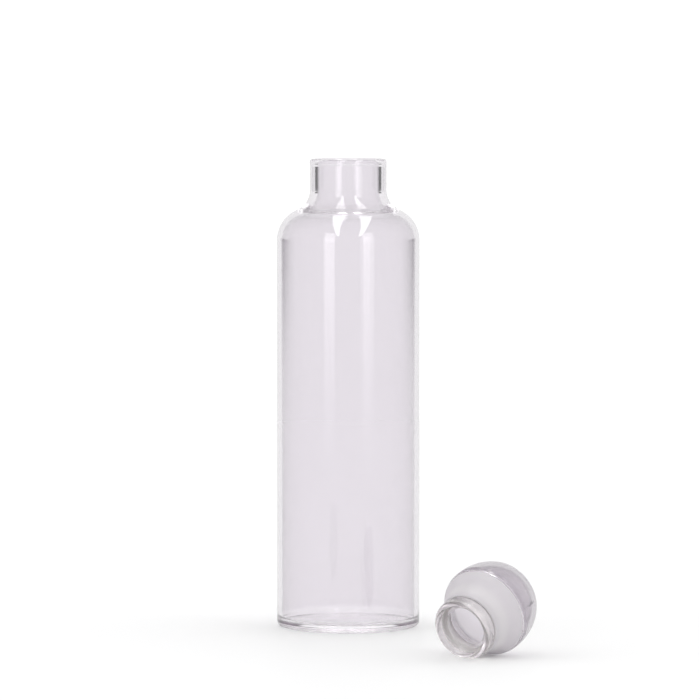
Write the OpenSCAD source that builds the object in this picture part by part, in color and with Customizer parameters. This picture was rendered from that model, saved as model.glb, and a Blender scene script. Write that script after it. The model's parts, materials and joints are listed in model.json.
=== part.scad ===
// Glass table water bottle with a hollow glass stopper and a silicone seal.
// Millimetres, +Z up. The origin is the centre of the bottle's flat base.
// The bottle stands upright and the stopper lies open beside it, in front and to the right.

/* [Bottle] */
// Overall height from the base to the top of the rim
bottle_h = 262; // [250:1:280]
// Outer radius of the straight body
body_r = 40; // [39:0.5:42]
// Glass thickness of the body and the shoulder
body_wall = 2.8; // [2:0.1:3.4]
// Glass thickness of the base
base_t = 3.4; // [3:0.2:6]
// Radius of the outer edge between the base and the body
heel_r = 3; // [2:0.5:5]
// Radius of the corner inside, between the base and the body
inner_heel_r = 3.4; // [3:0.2:6]

/* [Shoulder and neck] */
// Outer radius of the round shoulder
shoulder_r = 18.5; // [17:0.5:19.5]
// Height at which the straight body ends and the shoulder begins
shoulder_z = 216.5; // [205:0.5:218]
// Outer radius of the hollow curve from the shoulder into the neck
neck_fillet_r = 12; // [8:0.5:13]
// Radius of the bore through the neck
bore_r = 17.2; // [17:0.05:17.5]
// Length of the straight bore, from the rim down
bore_len = 18; // [14:0.5:20]
// How far the rim bead stands out from the neck
bead = 0.2; // [0.1:0.05:0.25]

/* [Stopper glass] */
// Outer radius of the open tip, which goes into the bottle's bore
tip_r = 16.9; // [16.5:0.05:16.95]
// Inner radius of the tip
tip_inner_r = 13.5; // [12.5:0.1:14]
// Radius of the narrow throat behind the tip's rim
throat_r = 11.2; // [10.8:0.1:12]
// Distance of the throat from the tip
throat_at = 4.6; // [4.2:0.2:5.2]
// Length of the tip that stands out of the seal
tip_len = 7; // [6:0.5:8]
// Overall length of the stopper
stopper_len = 47; // [46:0.5:50]
// Largest radius of the head
head_r = 25; // [24.5:0.1:26]
// Distance of the head's widest ring from the tip
head_wide_at = 28.5; // [28:0.5:30]
// Radius of the head's side, seen in profile
head_side_r = 32; // [30:1:40]
// Radius of the edge around the flat end of the head
head_edge_r = 6; // [4:0.5:7]
// Glass thickness of the head's side
head_wall = 2.6; // [2:0.1:3.2]
// Glass thickness of the head's flat end
head_end_t = 4; // [3:0.5:5]

/* [Seal] */
// Radius of the seal where it begins, next to the tip
seal_front_r = 17.6; // [17.4:0.05:17.8]
// Distance of the seal's back edge from the tip
seal_end = 24; // [23.5:0.5:25]
// Steepest slope of the seal's flare, in degrees from the stopper's axis
seal_slope = 32; // [30:1:34]
// Distance from the tip at which the flare reaches that slope
flare_full_at = 17; // [16:0.5:18]
// Thickness of the silicone along the flare
seal_t = 2; // [1.6:0.1:2.2]
// Radius of the seal's back edge
seal_edge_r = 0.6; // [0.4:0.1:0.8]

/* [Where the stopper lies] */
// Place of the middle of the open tip, to the right of the bottle's axis
lie_x = 60; // [55:1:90]
// Place of the middle of the open tip, in front (-) of the bottle's axis
lie_y = -158; // [-180:1:-120]
// Direction in which the head points, in degrees from +X towards +Y
lie_heading = 56; // [30:1:75]

/* [Hidden] */
$fn = 96;
// segments in each arc of a profile
arc_steps = 16;

// A round stretch of a profile. Points are [radius, height], angles run from +radius towards +height.
function arc(centre, r, from, to) =
    [for (i = [0 : arc_steps]) let (a = from + (to - from) * i / arc_steps) centre + r * [cos(a), sin(a)]];

// Bottle, outside
neck_r = body_r - shoulder_r;
shoulder_c = [neck_r, shoulder_z];
neck_fillet_z = shoulder_z + sqrt(pow(shoulder_r + neck_fillet_r, 2) - pow(neck_fillet_r, 2));
neck_fillet_c = [neck_r + neck_fillet_r, neck_fillet_z];
shoulder_turn = atan2(neck_fillet_z - shoulder_z, neck_fillet_r);
rim_r = (neck_r + bead - bore_r) / 2;
rim_c = [bore_r + rim_r, bottle_h - rim_r];
rim_from = -acos((neck_r - rim_c[0]) / rim_r);

// Bottle, inside
inner_r = body_r - body_wall;
inner_shoulder_r = shoulder_r - body_wall;
bore_z = bottle_h - bore_len;
bore_step = neck_r - bore_r;
bore_rise = bore_z - shoulder_z;
inner_fillet_r =
    (pow(bore_rise, 2) + pow(bore_step, 2) - pow(inner_shoulder_r, 2)) / (2 * (inner_shoulder_r + bore_step));
inner_fillet_c = [bore_r + inner_fillet_r, bore_z];
inner_turn = atan2(bore_rise, inner_fillet_r - bore_step);

// Stopper, outside: the tip's round rim, the seal's flare and the head's side
tip_rim_r = (tip_r - tip_inner_r) / 2;
tip_rim_c = [tip_r - tip_rim_r, tip_rim_r];
throat_round = 0.8;
throat_c = [throat_r + throat_round, throat_at];
funnel_turn = atan2(throat_c[1] - tip_rim_c[1], throat_c[0] - tip_rim_c[0])
    + acos((tip_rim_r - throat_round) / norm(throat_c - tip_rim_c));
seat_depth = 0.4;
seat_r = tip_r - seat_depth;
flare_r = (flare_full_at - tip_len) / sin(seal_slope);
flare_c = [seal_front_r + flare_r, tip_len];
flare_end = flare_c + flare_r * [-cos(seal_slope), sin(seal_slope)];
seal_edge_z = seal_end - seal_edge_r;
seal_edge_x = flare_end[0] + (seal_edge_z - flare_full_at) * tan(seal_slope) - seal_edge_r / cos(seal_slope);
seal_edge_c = [seal_edge_x, seal_edge_z];
head_c = [head_r - head_side_r, head_wide_at];
edge_z = stopper_len - head_edge_r;
edge_c = [head_c[0] + sqrt(pow(head_side_r - head_edge_r, 2) - pow(edge_z - head_wide_at, 2)), edge_z];
edge_turn = atan2(edge_z - head_wide_at, edge_c[0] - head_c[0]);
head_front_z = seal_end;
head_front_round = 0.8;
head_front_angle = asin((head_front_z + head_front_round - head_wide_at) / (head_side_r - head_front_round));
head_front_c = head_c + (head_side_r - head_front_round) * [cos(head_front_angle), sin(head_front_angle)];

// Stopper, inside: the flare under the seal, the hollow of the head and the throat
glass_flare_r = flare_r + seal_t;
glass_flare_end = flare_c + glass_flare_r * [-cos(seal_slope), sin(seal_slope)];
glass_flare_from = acos((flare_c[0] - seat_r) / glass_flare_r);
glass_back_r = glass_flare_end[0] + (seal_end - glass_flare_end[1]) * tan(seal_slope);
flare_wall = 2.4;
cavity_flare_r = glass_flare_r + flare_wall;
cavity_flare_from = acos((flare_c[0] - tip_inner_r) / cavity_flare_r);
cavity_front = flare_c + cavity_flare_r * [-cos(cavity_flare_from), sin(cavity_flare_from)];
throat_turn = atan2(cavity_front[1] - throat_c[1], cavity_front[0] - throat_c[0])
    + acos(throat_round / norm(cavity_front - throat_c));
cavity_side_r = head_side_r - head_wall;
cavity_edge_r = head_edge_r - head_wall;
cavity_edge_z = stopper_len - head_end_t - cavity_edge_r;
cavity_edge_x = head_c[0] + sqrt(pow(cavity_side_r - cavity_edge_r, 2) - pow(cavity_edge_z - head_wide_at, 2));
cavity_edge_c = [cavity_edge_x, cavity_edge_z];
cavity_turn = atan2(cavity_edge_z - head_wide_at, cavity_edge_x - head_c[0]);

// How the stopper lies: on the rim of its tip and on the back edge of its seal
rest_run = seal_edge_c[1] - tip_rim_c[1];
rest_rise = seal_edge_c[0] - tip_rim_c[0];
lie_tilt = atan2(rest_rise, rest_run) + asin((seal_edge_r - tip_rim_r) / norm([rest_run, rest_rise]));
tip_centre_z = tip_rim_c[0] * cos(lie_tilt) - tip_rim_c[1] * sin(lie_tilt) + tip_rim_r;

module bottle_body() {
    outside = concat(
        [[0, 0]],
        arc([body_r - heel_r, heel_r], heel_r, -90, 0),
        arc(shoulder_c, shoulder_r, 0, shoulder_turn),
        arc(neck_fillet_c, neck_fillet_r, shoulder_turn + 180, 180),
        arc(rim_c, rim_r, rim_from, 180)
    );
    inside = concat(
        arc(inner_fillet_c, inner_fillet_r, 180, inner_turn + 180),
        arc(shoulder_c, inner_shoulder_r, inner_turn, 0),
        arc([inner_r - inner_heel_r, base_t + inner_heel_r], inner_heel_r, 0, -90),
        [[0, base_t]]
    );
    color([0.89, 0.88, 0.9, 0.4]) rotate_extrude() polygon(concat(outside, inside));
}

// Puts a stopper piece, modelled upright with its tip down, where it lies beside the bottle.
module lying() {
    translate([lie_x, lie_y, 0])
        rotate([0, 0, lie_heading])
            translate([0, 0, tip_centre_z])
                rotate([0, 90 - lie_tilt, 0])
                    children();
}

module stopper_glass() {
    outside = concat(
        arc(tip_rim_c, tip_rim_r, funnel_turn, 360),
        [[tip_r, tip_len], [seat_r, tip_len]],
        arc(flare_c, glass_flare_r, 180 - glass_flare_from, 180 - seal_slope),
        [[glass_back_r, seal_end]],
        arc(head_front_c, head_front_round, -90, head_front_angle),
        arc(head_c, head_side_r, head_front_angle, edge_turn),
        arc(edge_c, head_edge_r, edge_turn, 90),
        [[0, stopper_len]]
    );
    inside = concat(
        [[0, stopper_len - head_end_t]],
        arc(cavity_edge_c, cavity_edge_r, 90, cavity_turn),
        arc(head_c, cavity_side_r, cavity_turn, 0),
        arc(flare_c, cavity_flare_r, 180 - seal_slope, 180 - cavity_flare_from),
        arc(throat_c, throat_round, throat_turn, funnel_turn)
    );
    color([0.82, 0.8, 0.83, 0.5]) lying() rotate_extrude() polygon(concat(outside, inside));
}

module stopper_seal() {
    profile = concat(
        [[seat_r, tip_len]],
        arc(flare_c, flare_r, 180, 180 - seal_slope),
        arc(seal_edge_c, seal_edge_r, -seal_slope, 90),
        [[glass_back_r, seal_end]],
        arc(flare_c, glass_flare_r, 180 - seal_slope, 180 - glass_flare_from)
    );
    color([0.88, 0.87, 0.88]) lying() rotate_extrude() polygon(profile);
}

bottle_body();
stopper_glass();
stopper_seal();
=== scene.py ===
import json
import math

import bpy
import bmesh
from mathutils import Matrix, Vector


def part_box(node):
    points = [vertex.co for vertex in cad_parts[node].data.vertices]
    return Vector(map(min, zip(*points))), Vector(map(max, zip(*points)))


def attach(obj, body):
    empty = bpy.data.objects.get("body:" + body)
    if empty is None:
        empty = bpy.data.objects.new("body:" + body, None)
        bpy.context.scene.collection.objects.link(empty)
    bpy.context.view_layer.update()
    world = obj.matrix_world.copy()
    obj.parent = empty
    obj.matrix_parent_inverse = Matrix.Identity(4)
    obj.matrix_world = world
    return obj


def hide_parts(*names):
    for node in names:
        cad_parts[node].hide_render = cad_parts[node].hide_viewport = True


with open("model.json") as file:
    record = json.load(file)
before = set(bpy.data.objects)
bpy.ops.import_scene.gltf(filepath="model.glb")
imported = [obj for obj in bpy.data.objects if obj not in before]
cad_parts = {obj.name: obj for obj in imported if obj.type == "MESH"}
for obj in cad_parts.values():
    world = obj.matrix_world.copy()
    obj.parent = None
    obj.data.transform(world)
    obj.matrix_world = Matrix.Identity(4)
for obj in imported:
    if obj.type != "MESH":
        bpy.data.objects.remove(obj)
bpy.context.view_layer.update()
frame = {"record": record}

MM = 0.001

# ---------------------------------------------------------------- sizes, in metres

mounts = {m["name"]: m for m in frame["record"]["mounts"]}


def mount_size(name, key):
    """A mount's stated size, in metres."""
    return mounts[name]["dims"][key] * MM


bottle_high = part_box("bottle_body")[1]
bottle_h = bottle_high.z
body_r = bottle_high.x
neck_r = mount_size("neck", "r_mm")
bore_r = mount_size("mouth", "r_mm")

# Bottle
body_wall = 2.8 * MM
base_t = 3.4 * MM
heel_r = 3 * MM
inner_heel_r = 3.4 * MM
shoulder_r = body_r - neck_r
shoulder_z = 216.5 * MM
neck_fillet_r = 12 * MM
bore_len = 18 * MM
bead = 0.2 * MM

# Stopper, measured along its own axis from the tip
tip_r = 16.9 * MM
tip_inner_r = 13.5 * MM
throat_r = 11.2 * MM
throat_at = 4.6 * MM
throat_round = 0.8 * MM
tip_len = 7 * MM
seat_depth = 0.4 * MM
stopper_len = 47 * MM
head_r = 25 * MM
head_wide_at = 28.5 * MM
head_side_r = 32 * MM
head_edge_r = 6 * MM
head_wall = 2.6 * MM
head_end_t = 4 * MM
head_front_round = 0.8 * MM
flare_wall = 2.4 * MM

# Seal
seal_front_r = 17.6 * MM
seal_end = 24 * MM
seal_slope = math.radians(32)
flare_full_at = 17 * MM
seal_t = 2 * MM
seal_edge_r = 0.6 * MM
# the seal's inner face is kept this far off the glass, so that the two surfaces never share a place
seal_gap = 0.06 * MM

# Where the stopper lies
lie_x = 60 * MM
lie_y = -158 * MM
lie_heading = math.radians(56)

# Fineness of the turned shapes: pieces around the axis, the short piece at each end of a straight
# run, and how close two points have to be to become one
AROUND = 192
GUARD = 1.2 * MM
MERGE_WITHIN = 0.004 * MM


# ---------------------------------------------------------------- drawing and turning outlines

def begin_outline(name, start):
    """Begins an outline as one point, at a radius and a height, and stays in edit mode."""
    bpy.ops.object.select_all(action="DESELECT")
    bpy.ops.mesh.primitive_plane_add(size=MM)
    piece = bpy.context.object
    piece.name = name
    bpy.ops.object.mode_set(mode="EDIT")
    bpy.ops.mesh.select_all(action="SELECT")
    bpy.ops.mesh.merge(type="CENTER")
    bpy.ops.transform.translate(value=(start[0], 0, start[1]))
    return piece


def pen_place():
    """Radius and height of the outline's last point, which is the selected one."""
    mesh = bmesh.from_edit_mesh(bpy.context.object.data)
    tip = next(v for v in mesh.verts if v.select)
    return tip.co.x, tip.co.z


def extrude_to(place):
    """Extrudes the outline's last point to a place."""
    radius, height = pen_place()
    step = (place[0] - radius, 0, place[1] - height)
    bpy.ops.mesh.extrude_vertices_move(TRANSFORM_OT_translate={"value": step})


def straight(place):
    """A straight run to a place, with a short piece at each end that keeps the long face flat."""
    start = Vector(pen_place())
    end = Vector(place)
    way = end - start
    if way.length > 4 * GUARD:
        extrude_to(start + way.normalized() * GUARD)
        extrude_to(end - way.normalized() * GUARD)
    extrude_to(end)


def round_stretch(centre, degrees, steps):
    """An arc about a centre, in a number of steps. A positive angle turns from outwards towards up."""
    bpy.ops.mesh.spin(
        steps=steps, angle=math.radians(degrees), center=(centre[0], 0, centre[1]), axis=(0, 1, 0)
    )


def turn_outline(piece):
    """Spins the finished outline about the upright axis and closes its seam and poles."""
    bpy.ops.mesh.select_all(action="SELECT")
    bpy.ops.mesh.spin(steps=AROUND, angle=math.tau, center=(0, 0, 0), axis=(0, 0, 1))
    bpy.ops.mesh.select_all(action="SELECT")
    bpy.ops.mesh.remove_doubles(threshold=MERGE_WITHIN)
    bpy.ops.mesh.normals_make_consistent(inside=False)
    bpy.ops.object.mode_set(mode="OBJECT")
    bpy.ops.object.shade_smooth()
    return piece


def circle_point(centre, radius, degrees):
    """A place on a circle in the outline's plane."""
    angle = math.radians(degrees)
    return centre[0] + radius * math.cos(angle), centre[1] + radius * math.sin(angle)


# ---------------------------------------------------------------- the bottle

def make_bottle():
    """The bottle's glass: one outline up the outside, over the rim and down the inside."""
    shoulder_c = (neck_r, shoulder_z)
    reach = shoulder_r + neck_fillet_r
    fillet_c = (neck_r + neck_fillet_r, shoulder_z + math.sqrt(reach**2 - neck_fillet_r**2))
    shoulder_turn = math.degrees(math.atan2(fillet_c[1] - shoulder_z, neck_fillet_r))
    rim_r = (neck_r + bead - bore_r) / 2
    rim_c = (bore_r + rim_r, bottle_h - rim_r)
    rim_from = -math.degrees(math.acos((neck_r - rim_c[0]) / rim_r))

    inner_r = body_r - body_wall
    inner_shoulder_r = shoulder_r - body_wall
    bore_z = bottle_h - bore_len
    step = neck_r - bore_r
    rise = bore_z - shoulder_z
    inner_fillet_r = (rise**2 + step**2 - inner_shoulder_r**2) / (2 * (inner_shoulder_r + step))
    inner_turn = math.degrees(math.atan2(rise, inner_fillet_r - step))

    piece = begin_outline("bottle_glass", (0, 0))
    straight((body_r - heel_r, 0))
    round_stretch((body_r - heel_r, heel_r), 90, 14)
    straight((body_r, shoulder_z))
    round_stretch(shoulder_c, shoulder_turn, 28)
    round_stretch(fillet_c, -shoulder_turn, 24)
    straight(circle_point(rim_c, rim_r, rim_from))
    round_stretch(rim_c, 180 - rim_from, 24)
    straight((bore_r, bore_z))
    round_stretch((bore_r + inner_fillet_r, bore_z), inner_turn, 24)
    round_stretch(shoulder_c, -inner_turn, 28)
    straight((inner_r, base_t + inner_heel_r))
    round_stretch((inner_r - inner_heel_r, base_t + inner_heel_r), -90, 18)
    straight((0, base_t))
    return turn_outline(piece)


# ---------------------------------------------------------------- the stopper and its seal

flare_r = (flare_full_at - tip_len) / math.sin(seal_slope)
flare_c = (seal_front_r + flare_r, tip_len)
seat_r = tip_r - seat_depth
tip_rim_r = (tip_r - tip_inner_r) / 2
tip_rim_c = (tip_r - tip_rim_r, tip_rim_r)


def flare_place(radius, slope_from_axis):
    """A place on one of the flare's arcs, which share a centre."""
    return circle_point(flare_c, radius, 180 - math.degrees(slope_from_axis))


def flare_radius_at(radius, height):
    """The radius that a flare's straight end reaches at a height."""
    start = flare_place(radius, seal_slope)
    return start[0] + (height - start[1]) * math.tan(seal_slope)


def flare_start(radius, from_radius):
    """The angle on a flare's arc, in degrees, at which it leaves a straight tube."""
    return math.degrees(math.acos((flare_c[0] - from_radius) / radius))


seal_edge_z = seal_end - seal_edge_r
seal_edge_x = flare_radius_at(flare_r, seal_edge_z) - seal_edge_r / math.cos(seal_slope)
seal_edge_c = (seal_edge_x, seal_edge_z)


def lying_place():
    """The place and turn of the stopper where it rests on its tip and seal; its axis was upright before."""
    run = seal_edge_c[1] - tip_rim_c[1]
    rise = seal_edge_c[0] - tip_rim_c[0]
    tilt = math.atan2(rise, run) + math.asin((seal_edge_r - tip_rim_r) / math.hypot(run, rise))
    height = tip_rim_c[0] * math.cos(tilt) - tip_rim_c[1] * math.sin(tilt) + tip_rim_r
    turn = Matrix.Rotation(lie_heading, 4, "Z") @ Matrix.Rotation(math.pi / 2 - tilt, 4, "Y")
    return Matrix.Translation((lie_x, lie_y, height)) @ turn


def lay_down(piece):
    """Lays a piece that was modelled upright, tip down, where the stopper lies."""
    piece.matrix_world = lying_place()
    bpy.ops.object.select_all(action="DESELECT")
    piece.select_set(True)
    bpy.context.view_layer.objects.active = piece
    bpy.ops.object.transform_apply(location=True, rotation=True, scale=True)
    return piece


def make_stopper():
    """The stopper's glass: tip, groove for the seal, flare, head and the hollow inside."""
    slope = math.degrees(seal_slope)
    glass_flare_r = flare_r + seal_t
    cavity_flare_r = glass_flare_r + flare_wall
    head_c = (head_r - head_side_r, head_wide_at)
    front_z = seal_end + head_front_round
    front_reach = head_side_r - head_front_round
    front_turn = math.degrees(math.asin((front_z - head_wide_at) / front_reach))
    front_c = circle_point(head_c, front_reach, front_turn)
    edge_z = stopper_len - head_edge_r
    edge_x = head_c[0] + math.sqrt((head_side_r - head_edge_r) ** 2 - (edge_z - head_wide_at) ** 2)
    edge_turn = math.degrees(math.atan2(edge_z - head_wide_at, edge_x - head_c[0]))

    cavity_side_r = head_side_r - head_wall
    cavity_edge_r = head_edge_r - head_wall
    cavity_z = stopper_len - head_end_t - cavity_edge_r
    cavity_reach = cavity_side_r - cavity_edge_r
    cavity_x = head_c[0] + math.sqrt(cavity_reach**2 - (cavity_z - head_wide_at) ** 2)
    cavity_turn = math.degrees(math.atan2(cavity_z - head_wide_at, cavity_x - head_c[0]))
    leave = flare_start(glass_flare_r, seat_r)
    enter = flare_start(cavity_flare_r, tip_inner_r)

    throat_c = Vector((throat_r + throat_round, throat_at))
    funnel = throat_c - Vector(tip_rim_c)
    funnel_side = math.acos((tip_rim_r - throat_round) / funnel.length)
    funnel_turn = math.degrees(math.atan2(funnel.y, funnel.x) + funnel_side)
    back = Vector(circle_point(flare_c, cavity_flare_r, 180 - enter)) - throat_c
    throat_turn = math.degrees(math.atan2(back.y, back.x) + math.acos(throat_round / back.length))

    lip = circle_point(tip_rim_c, tip_rim_r, funnel_turn)
    piece = begin_outline("stopper_blown_glass", lip)
    round_stretch(tip_rim_c, 360 - funnel_turn, 16)
    straight((tip_r, tip_len))
    extrude_to((seat_r, tip_len))
    extrude_to(circle_point(flare_c, glass_flare_r, 180 - leave))
    round_stretch(flare_c, leave - slope, 16)
    extrude_to((flare_radius_at(glass_flare_r, seal_end), seal_end))
    extrude_to(circle_point(front_c, head_front_round, -90))
    round_stretch(front_c, 90 + front_turn, 8)
    round_stretch(head_c, edge_turn - front_turn, 28)
    round_stretch((edge_x, edge_z), 90 - edge_turn, 18)
    straight((0, stopper_len))
    straight((0, stopper_len - head_end_t))
    straight((cavity_x, stopper_len - head_end_t))
    round_stretch((cavity_x, cavity_z), cavity_turn - 90, 16)
    round_stretch(head_c, -cavity_turn, 26)
    extrude_to(flare_place(cavity_flare_r, seal_slope))
    round_stretch(flare_c, slope - enter, 16)
    straight(circle_point(throat_c, throat_round, throat_turn))
    round_stretch(throat_c, funnel_turn - throat_turn, 8)
    straight(lip)
    return lay_down(turn_outline(piece))


def make_seal():
    """The silicone seal: a flared sleeve, thin at the front, with a rounded back edge."""
    slope = math.degrees(seal_slope)
    bore_flare_r = flare_r + seal_t - seal_gap
    front = (seat_r + seal_gap, tip_len + seal_gap)
    leave = flare_start(bore_flare_r, front[0])
    back_z = seal_end - seal_gap
    edge_c = (seal_edge_c[0], seal_edge_c[1] - seal_gap)

    piece = begin_outline("seal_silicone", front)
    extrude_to((seal_front_r, tip_len + seal_gap))
    round_stretch(flare_c, -slope, 20)
    extrude_to(circle_point(edge_c, seal_edge_r, -slope))
    round_stretch(edge_c, 90 + slope, 8)
    extrude_to((flare_radius_at(bore_flare_r, back_z), back_z))
    extrude_to(flare_place(bore_flare_r, seal_slope))
    round_stretch(flare_c, slope - leave, 16)
    extrude_to(front)
    return lay_down(turn_outline(piece))


# ---------------------------------------------------------------- materials

# Colours, each clean and where it has been handled
BOTTLE_WALL = ((0.87, 0.846, 0.876), (0.86, 0.836, 0.866))
# painted light: a paler foot that lifts the dark band which the light leaves in the base
BOTTLE_FOOT_PAINTED_LIGHT = ((0.985, 0.975, 0.988), (0.97, 0.96, 0.973))
STOPPER_TIP = ((0.98, 0.975, 0.95), (0.95, 0.945, 0.92))
STOPPER_HEAD = ((0.78, 0.745, 0.785), (0.76, 0.725, 0.765))
SEAL_BASE_COLOUR = ((0.76, 0.73, 0.76), (0.72, 0.69, 0.72))
# painted highlight: the paler band across the middle of the seal
SEAL_PAINTED_HIGHLIGHT = ((0.80, 0.775, 0.79), (0.77, 0.745, 0.77))
# colour that glass takes on with depth
DEPTH_TINT = (0.6, 0.54, 0.6)
# Painted shade on glass seen edge on: the shade that it is multiplied by, and how narrow the dark edge is
WALL_EDGE_SHADE = (0.42, 2.6)
TIP_EDGE_SHADE = (0.75, 2)
HEAD_EDGE_SHADE = (0.3, 1.3)
# Heights between which the painted light on the bottle's pale foot gives way to the wall
FOOT_LIGHT_SPAN = (4 * MM, 9 * MM)
# Distances from the stopper's tip over which the grinding ends and the glass turns darker
GROUND_SPAN = (3.8 * MM, 4.8 * MM)
HEAD_DARK_SPAN = (5 * MM, 20 * MM)
# Distances from the tip over which the painted highlight band on the seal rises, and then fades again
HIGHLIGHT_BAND_RISE = (9 * MM, 12 * MM)
HIGHLIGHT_BAND_FALL = (14 * MM, 18 * MM)
# Roughness, clean and where it has been handled, and what the grinding adds at the tip
GLASS_ROUGH = (0.0, 0.05)
SEAL_ROUGH = (0.38, 0.5)
TIP_ROUGH = 0.24
GLASS_IOR = 1.5
SILICONE_IOR = 1.41
# share of the light that goes through the silicone
SILICONE_CLEAR = 0.35
# The waves' full height, and the ripples' share of it
WAVE_HEIGHT = 0.3 * MM
RIPPLE_SHARE = 0.12
# how soft the edge of a smear is
SMEAR_EDGE = 0.3


def group_input(group, name, value):
    """A named number input of a node group, with its usual value."""
    socket = group.interface.new_socket(name=name, in_out="INPUT", socket_type="NodeSocketFloat")
    socket.default_value = value


def waviness_group():
    """Uneven thickness of worked glass: slow waves across the wall and finer ripples, as a normal."""
    group = bpy.data.node_groups.new("glass waviness", "ShaderNodeTree")
    group_input(group, "Wave Scale", 14)
    group_input(group, "Ripple Scale", 60)
    group_input(group, "Depth", 0.1)
    group.interface.new_socket(name="Normal", in_out="OUTPUT", socket_type="NodeSocketVector")
    nodes, links = group.nodes, group.links
    given = nodes.new("NodeGroupInput")
    out = nodes.new("NodeGroupOutput")
    place = nodes.new("ShaderNodeTexCoord")
    waves = nodes.new("ShaderNodeTexNoise")
    waves.inputs["Detail"].default_value = 1
    ripples = nodes.new("ShaderNodeTexNoise")
    ripples.inputs["Detail"].default_value = 2
    mix = nodes.new("ShaderNodeMath")
    mix.operation = "MULTIPLY_ADD"
    mix.inputs[1].default_value = RIPPLE_SHARE
    bump = nodes.new("ShaderNodeBump")
    bump.inputs["Distance"].default_value = WAVE_HEIGHT
    links.new(place.outputs["Object"], waves.inputs["Vector"])
    links.new(place.outputs["Object"], ripples.inputs["Vector"])
    links.new(given.outputs["Wave Scale"], waves.inputs["Scale"])
    links.new(given.outputs["Ripple Scale"], ripples.inputs["Scale"])
    links.new(ripples.outputs["Fac"], mix.inputs[0])
    links.new(waves.outputs["Fac"], mix.inputs[2])
    links.new(mix.outputs["Value"], bump.inputs["Height"])
    links.new(given.outputs["Depth"], bump.inputs["Strength"])
    links.new(bump.outputs["Normal"], out.inputs["Normal"])
    return group


def handling_group():
    """Faint smears and fingertip haze, as a mask from 0 on clean glass to 1."""
    group = bpy.data.node_groups.new("handling haze", "ShaderNodeTree")
    group_input(group, "Scale", 22)
    group_input(group, "Cover", 0.5)
    group.interface.new_socket(name="Mask", in_out="OUTPUT", socket_type="NodeSocketFloat")
    nodes, links = group.nodes, group.links
    given = nodes.new("NodeGroupInput")
    out = nodes.new("NodeGroupOutput")
    place = nodes.new("ShaderNodeTexCoord")
    smear = nodes.new("ShaderNodeTexNoise")
    smear.inputs["Detail"].default_value = 6
    smear.inputs["Distortion"].default_value = 0.7
    edge = nodes.new("ShaderNodeMapRange")
    edge.inputs["To Max"].default_value = 1
    top = nodes.new("ShaderNodeMath")
    top.operation = "ADD"
    top.inputs[1].default_value = SMEAR_EDGE
    links.new(place.outputs["Object"], smear.inputs["Vector"])
    links.new(given.outputs["Scale"], smear.inputs["Scale"])
    links.new(smear.outputs["Fac"], edge.inputs["Value"])
    links.new(given.outputs["Cover"], edge.inputs["From Min"])
    links.new(given.outputs["Cover"], top.inputs[0])
    links.new(top.outputs["Value"], edge.inputs["From Max"])
    links.new(edge.outputs["Result"], out.inputs["Mask"])
    return group


def place_group(nodes, group, **values):
    """Places a node group in a material with its own values."""
    node = nodes.new("ShaderNodeGroup")
    node.node_tree = group
    for name, value in values.items():
        node.inputs[name.replace("_", " ")].default_value = value
    return node


def blend_colours(nodes, links, mask, clean, marked):
    """Colour that goes from clean to marked as a mask rises."""
    mix = nodes.new("ShaderNodeMix")
    mix.data_type = "RGBA"
    mix.inputs["A"].default_value = (*clean, 1)
    mix.inputs["B"].default_value = (*marked, 1)
    links.new(mask, mix.inputs["Factor"])
    return mix.outputs["Result"]


def blend_numbers(nodes, links, mask, clean, marked):
    """Number that goes from clean to marked as a mask rises."""
    spread = nodes.new("ShaderNodeMapRange")
    spread.inputs["To Min"].default_value = clean
    spread.inputs["To Max"].default_value = marked
    links.new(mask, spread.inputs["Value"])
    return spread.outputs["Result"]


def new_material(name):
    """An empty node material with its Principled BSDF."""
    material = bpy.data.materials.new(name)
    material.use_nodes = True
    nodes, links = material.node_tree.nodes, material.node_tree.links
    return material, nodes, links, nodes["Principled BSDF"]


def math_step(nodes, links, operation, first, second=None):
    """One math step on an output, with a second output or a plain number."""
    step = nodes.new("ShaderNodeMath")
    step.operation = operation
    links.new(first, step.inputs[0])
    if isinstance(second, (int, float)):
        step.inputs[1].default_value = second
    elif second is not None:
        links.new(second, step.inputs[1])
    return step.outputs["Value"]


def paint_edge_shade(nodes, links, colour, shade, power):
    """Painted shade: a colour that is multiplied by a shade where the glass is seen edge on."""
    facing = nodes.new("ShaderNodeLayerWeight")
    edge = math_step(nodes, links, "POWER", facing.outputs["Facing"], power)
    darker = nodes.new("ShaderNodeMix")
    darker.data_type = "RGBA"
    darker.blend_type = "MULTIPLY"
    darker.inputs["B"].default_value = (shade, shade, shade, 1)
    links.new(edge, darker.inputs["Factor"])
    links.new(colour, darker.inputs["A"])
    return darker.outputs["Result"]


def along_stopper(nodes, links):
    """Distance along the lying stopper's axis from its tip."""
    head_way = (lying_place().to_3x3() @ Vector((0, 0, 1))).normalized()
    place = nodes.new("ShaderNodeTexCoord")
    along = nodes.new("ShaderNodeVectorMath")
    along.operation = "DOT_PRODUCT"
    along.inputs[1].default_value = head_way
    links.new(place.outputs["Object"], along.inputs[0])
    tip_at = lying_place().translation.dot(head_way)
    return math_step(nodes, links, "SUBTRACT", along.outputs["Value"], tip_at)


def smooth_step(nodes, links, source, start, end, low, high):
    """A smooth step of a value, from low at start to high at end."""
    step = nodes.new("ShaderNodeMapRange")
    step.interpolation_type = "SMOOTHSTEP"
    step.inputs["From Min"].default_value = start
    step.inputs["From Max"].default_value = end
    step.inputs["To Min"].default_value = low
    step.inputs["To Max"].default_value = high
    links.new(source, step.inputs["Value"])
    return step.outputs["Result"]


def mix_colours(nodes, links, mask, first, second):
    """Two colour outputs mixed by a mask."""
    mix = nodes.new("ShaderNodeMix")
    mix.data_type = "RGBA"
    links.new(mask, mix.inputs["Factor"])
    links.new(first, mix.inputs["A"])
    links.new(second, mix.inputs["B"])
    return mix.outputs["Result"]


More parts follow.
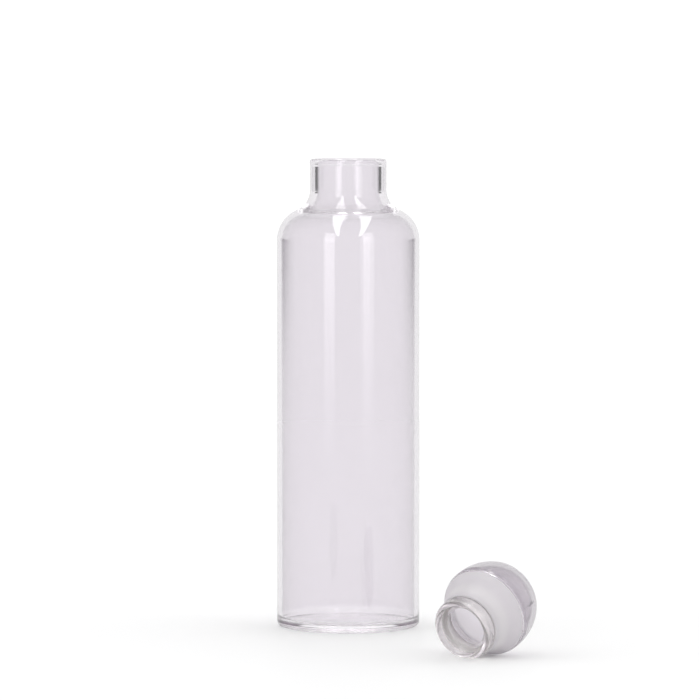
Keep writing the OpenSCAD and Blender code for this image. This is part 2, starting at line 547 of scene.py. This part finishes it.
def glass_material(name, wave_scale, wave_depth, density):
    """Clear glass with waves in its wall and a tint that deepens with thickness; colour is added later."""
    material, nodes, links, shader = new_material(name)
    shader.inputs["Transmission Weight"].default_value = 1
    shader.inputs["IOR"].default_value = GLASS_IOR
    waves = place_group(nodes, groups["waves"], Wave_Scale=wave_scale, Depth=wave_depth)
    links.new(waves.outputs["Normal"], shader.inputs["Normal"])
    depth = nodes.new("ShaderNodeVolumeAbsorption")
    depth.inputs["Color"].default_value = (*DEPTH_TINT, 1)
    depth.inputs["Density"].default_value = density
    links.new(depth.outputs["Volume"], nodes["Material Output"].inputs["Volume"])
    return material, nodes, links, shader


def bottle_glass_material():
    """The bottle's nearly clear glass, with painted light that makes its foot palest, and faint haze from
    handling.
    """
    material, nodes, links, shader = glass_material("bottle glass", wave_scale=14, wave_depth=0.12, density=3)
    mask = place_group(nodes, groups["haze"], Scale=24, Cover=0.52).outputs["Mask"]
    wall = blend_colours(nodes, links, mask, *BOTTLE_WALL)
    # painted shade where the bottle's wall is seen edge on
    wall = paint_edge_shade(nodes, links, wall, *WALL_EDGE_SHADE)
    # painted light: the paler foot, without the edge shade, lifts the dark band in the base
    foot = blend_colours(nodes, links, mask, *BOTTLE_FOOT_PAINTED_LIGHT)
    place = nodes.new("ShaderNodeTexCoord")
    split = nodes.new("ShaderNodeSeparateXYZ")
    links.new(place.outputs["Object"], split.inputs["Vector"])
    above_foot = smooth_step(nodes, links, split.outputs["Z"], *FOOT_LIGHT_SPAN, 0, 1)
    links.new(mix_colours(nodes, links, above_foot, foot, wall), shader.inputs["Base Color"])
    links.new(blend_numbers(nodes, links, mask, *GLASS_ROUGH), shader.inputs["Roughness"])
    return material


def stopper_glass_material():
    """The stopper's glass, darker towards the head and paler at its finely ground tip."""
    material, nodes, links, shader = glass_material("stopper glass", wave_scale=30, wave_depth=0.2, density=6)
    mask = place_group(nodes, groups["haze"], Scale=24, Cover=0.52).outputs["Mask"]
    from_tip = along_stopper(nodes, links)
    # the glass turns darker from the tip towards the head
    head_darkening = smooth_step(nodes, links, from_tip, *HEAD_DARK_SPAN, 0, 1)
    tip = blend_colours(nodes, links, mask, *STOPPER_TIP)
    # painted shade where the tip is seen edge on
    tip = paint_edge_shade(nodes, links, tip, *TIP_EDGE_SHADE)
    head = blend_colours(nodes, links, mask, *STOPPER_HEAD)
    # painted shade where the head is seen edge on
    head = paint_edge_shade(nodes, links, head, *HEAD_EDGE_SHADE)
    links.new(mix_colours(nodes, links, head_darkening, tip, head), shader.inputs["Base Color"])
    ground = smooth_step(nodes, links, from_tip, *GROUND_SPAN, TIP_ROUGH, 0)
    handled = blend_numbers(nodes, links, mask, *GLASS_ROUGH)
    links.new(math_step(nodes, links, "ADD", ground, handled), shader.inputs["Roughness"])
    return material


def silicone_material():
    """Translucent satin silicone with a fine moulded grain, faint dust and a painted highlight band round its
    middle.
    """
    material, nodes, links, shader = new_material("translucent silicone")
    shader.inputs["Transmission Weight"].default_value = SILICONE_CLEAR
    shader.inputs["IOR"].default_value = SILICONE_IOR
    grain = place_group(nodes, groups["waves"], Wave_Scale=60, Ripple_Scale=900, Depth=0.25)
    mask = place_group(nodes, groups["haze"], Scale=60, Cover=0.45).outputs["Mask"]
    links.new(grain.outputs["Normal"], shader.inputs["Normal"])
    thick = blend_colours(nodes, links, mask, *SEAL_BASE_COLOUR)
    # painted highlight: the paler band across the seal's middle
    thin = blend_colours(nodes, links, mask, *SEAL_PAINTED_HIGHLIGHT)
    from_tip = along_stopper(nodes, links)
    band_rising = smooth_step(nodes, links, from_tip, *HIGHLIGHT_BAND_RISE, 0, 1)
    band_falling = smooth_step(nodes, links, from_tip, *HIGHLIGHT_BAND_FALL, 1, 0)
    painted_band = math_step(nodes, links, "MULTIPLY", band_rising, band_falling)
    links.new(mix_colours(nodes, links, painted_band, thick, thin), shader.inputs["Base Color"])
    links.new(blend_numbers(nodes, links, mask, *SEAL_ROUGH), shader.inputs["Roughness"])
    return material


def dress(piece, material, body, node):
    """Gives a piece its material, hangs it on its body and hides the part that it stands for."""
    piece.data.materials.clear()
    piece.data.materials.append(material)
    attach(piece, body)
    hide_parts(node)


# ---------------------------------------------------------------- the object

groups = {"waves": waviness_group(), "haze": handling_group()}
bottle_glass = bottle_glass_material()
stopper_glass = stopper_glass_material()
silicone = silicone_material()

dress(make_bottle(), bottle_glass, "bottle", "bottle_body")
dress(make_stopper(), stopper_glass, "stopper", "stopper_glass")
dress(make_seal(), silicone, "stopper", "stopper_seal")


# ---------------------------------------------------------------- floor, light and camera

# Brightness of the plain white room, and of the cards and ceiling that only the glass sees
PLAIN_WHITE = 1.17
CARD_DARK = 0.08
CEILING = 0.92
# the glass sees the room as bright as the lit floor, so that no line shows where they meet
BACK_WHITE = 1.03
# where a card's dark begins, is full, thins and ends, in degrees from straight behind, left and right
CARD_EDGES = (34, 46, 60, 70)
# Heights of the direction in which a card is seen, over which its foot and its head fade, and
# over which the ceiling dims
CARD_FOOT = (-0.085, -0.02)
CARD_HEAD = (0.0, 0.04)
CEILING_SPAN = (0.35, 0.7)
# Floor: radius, sides, paleness, roughness, gloss, and how far it lies below the bottle's base
FLOOR_R = 1.5
FLOOR_SIDES = 96
FLOOR_PALE = 0.9
FLOOR_ROUGH = 0.6
FLOOR_GLOSS = 0.2
FLOOR_DROP = 0.1 * MM
# Soft boxes: degrees round from the front, distance, width, height, radiance at the bottom and at
# the top, and the share of the height at which it is full
BOX_ROUND = (-30.6, 33)
BOX_AWAY = 0.8
BOX_W = 0.25
BOX_H = 0.7
BOX_LOW = 0.02
BOX_HIGH = 1.9
BOX_FULL_AT = 0.43
# Overhead strips: places left and right, distance in front, height, size, turn towards each other
# at the back, radiance
STRIPS_AT = (-0.2, 0.27)
STRIP_Y = -0.52
STRIP_H = 0.7
STRIP_SIZE = (0.1, 1.35)
STRIP_TURN = math.radians(13.2)
STRIP = 4
# Camera: place, how far it looks down, lens and sensor in millimetres, and how far it sees
CAMERA_AT = (0.001, -2.87, 0.337)
CAMERA_DOWN = math.radians(3.63)
CAMERA_LENS = 264.2
CAMERA_SENSOR = 36
CAMERA_SEES = 100
# light runs a long way inside the wall, from the base to the rim
MOST_BOUNCES = 128


def make_floor():
    """A wide pale floor, a hair below the base so that the two faces never share a place."""
    place = (0, 0, -FLOOR_DROP)
    bpy.ops.mesh.primitive_circle_add(
        vertices=FLOOR_SIDES, radius=FLOOR_R, fill_type="NGON", location=place
    )
    floor = bpy.context.object
    floor.name = "studio_floor"
    material, nodes, links, shader = new_material("pale floor")
    shader.inputs["Base Color"].default_value = (FLOOR_PALE, FLOOR_PALE, FLOOR_PALE, 1)
    shader.inputs["Roughness"].default_value = FLOOR_ROUGH
    shader.inputs["Specular IOR Level"].default_value = FLOOR_GLOSS
    floor.data.materials.append(material)


def make_world():
    """A white room. Only the glass sees its two dark cards at the back and its dimmer ceiling."""
    world = bpy.data.worlds.new("white studio")
    bpy.context.scene.world = world
    world.use_nodes = True
    world.cycles.sampling_method = "NONE"
    nodes, links = world.node_tree.nodes, world.node_tree.links
    background = nodes["Background"]
    place = nodes.new("ShaderNodeTexCoord")
    split = nodes.new("ShaderNodeSeparateXYZ")
    links.new(place.outputs["Generated"], split.inputs["Vector"])

    across = math_step(nodes, links, "ABSOLUTE", split.outputs["X"])
    corner = math_step(nodes, links, "ARCTAN2", across, split.outputs["Y"])
    card_start, card_full, card_thin, card_end = (math.radians(a) for a in CARD_EDGES)
    turning_in = smooth_step(nodes, links, corner, card_start, card_full, 0, 1)
    turning_out = smooth_step(nodes, links, corner, card_thin, card_end, 1, 0)
    foot = smooth_step(nodes, links, split.outputs["Z"], *CARD_FOOT, 0, 1)
    head = smooth_step(nodes, links, split.outputs["Z"], *CARD_HEAD, 1, 0)
    card = math_step(nodes, links, "MULTIPLY", turning_in, turning_out)
    card = math_step(nodes, links, "MULTIPLY", card, foot)
    card = math_step(nodes, links, "MULTIPLY", card, head)
    cards = smooth_step(nodes, links, card, 0, 1, BACK_WHITE, CARD_DARK)
    ceiling = smooth_step(nodes, links, split.outputs["Z"], *CEILING_SPAN, 1, CEILING)
    room = math_step(nodes, links, "MULTIPLY", cards, ceiling)

    path = nodes.new("ShaderNodeLightPath")
    seen_plain = (path.outputs["Is Camera Ray"], path.outputs["Is Diffuse Ray"])
    plain = math_step(nodes, links, "MAXIMUM", *seen_plain)
    seen = nodes.new("ShaderNodeMix")
    seen.data_type = "FLOAT"
    seen.inputs["B"].default_value = PLAIN_WHITE
    links.new(plain, seen.inputs["Factor"])
    links.new(room, seen.inputs["A"])
    links.new(seen.outputs["Result"], background.inputs["Strength"])
    background.inputs["Color"].default_value = (1, 1, 1, 1)


def area_lamp(name, place, aim, size, low, high, full_at=1):
    """A flat soft light that only glass and gloss see, with a radiance from low to high up its height."""
    light = bpy.data.lights.new(name, "AREA")
    light.shape = "RECTANGLE"
    light.size, light.size_y = size
    # with this energy, a strength of 1 is a radiance of 1
    light.energy = math.pi * size[0] * size[1]
    light.use_shadow = False
    light.use_nodes = True
    nodes, links = light.node_tree.nodes, light.node_tree.links
    surface = nodes.new("ShaderNodeNewGeometry")
    split = nodes.new("ShaderNodeSeparateXYZ")
    links.new(surface.outputs["Parametric"], split.inputs["Vector"])
    radiance = smooth_step(nodes, links, split.outputs["Y"], 0, full_at, low, high)
    links.new(radiance, nodes["Emission"].inputs["Strength"])
    lamp = bpy.data.objects.new(name, light)
    bpy.context.scene.collection.objects.link(lamp)
    lamp.location = place
    lamp.rotation_euler = (Vector(aim) - Vector(place)).to_track_quat("-Z", "Y").to_euler()
    lamp.visible_camera = False
    lamp.visible_diffuse = False
    return lamp


def make_lights():
    """Two tall soft boxes in front, left and right, and two strips overhead."""
    for name, degrees in zip(("soft_box_left", "soft_box_right"), BOX_ROUND):
        angle = math.radians(degrees)
        place = (BOX_AWAY * math.sin(angle), -BOX_AWAY * math.cos(angle), BOX_H / 2)
        area_lamp(name, place, (0, 0, BOX_H / 2), (BOX_W, BOX_H), BOX_LOW, BOX_HIGH, BOX_FULL_AT)
    for name, across, turn in zip(("strip_left", "strip_right"), STRIPS_AT, (-STRIP_TURN, STRIP_TURN)):
        strip = area_lamp(name, (across, STRIP_Y, STRIP_H), (0, 0, 0), STRIP_SIZE, STRIP, STRIP)
        strip.rotation_euler = (0, 0, turn)


def make_camera():
    """The camera, well back and a little above the rim."""
    camera = bpy.data.cameras.new("camera")
    camera.sensor_width = CAMERA_SENSOR
    camera.lens = CAMERA_LENS
    camera.clip_end = CAMERA_SEES
    eye = bpy.data.objects.new("camera", camera)
    bpy.context.scene.collection.objects.link(eye)
    eye.location = CAMERA_AT
    eye.rotation_euler = (math.pi / 2 - CAMERA_DOWN, 0, 0)
    bpy.context.scene.camera = eye


def set_light_paths():
    """Enough bounces for light to pass through both walls and along the thick glass."""
    cycles = bpy.context.scene.cycles
    cycles.max_bounces = MOST_BOUNCES
    cycles.glossy_bounces = MOST_BOUNCES
    cycles.transmission_bounces = MOST_BOUNCES
    bpy.context.scene.view_settings.view_transform = "Standard"


make_floor()
make_world()
make_lights()
make_camera()
set_light_paths()
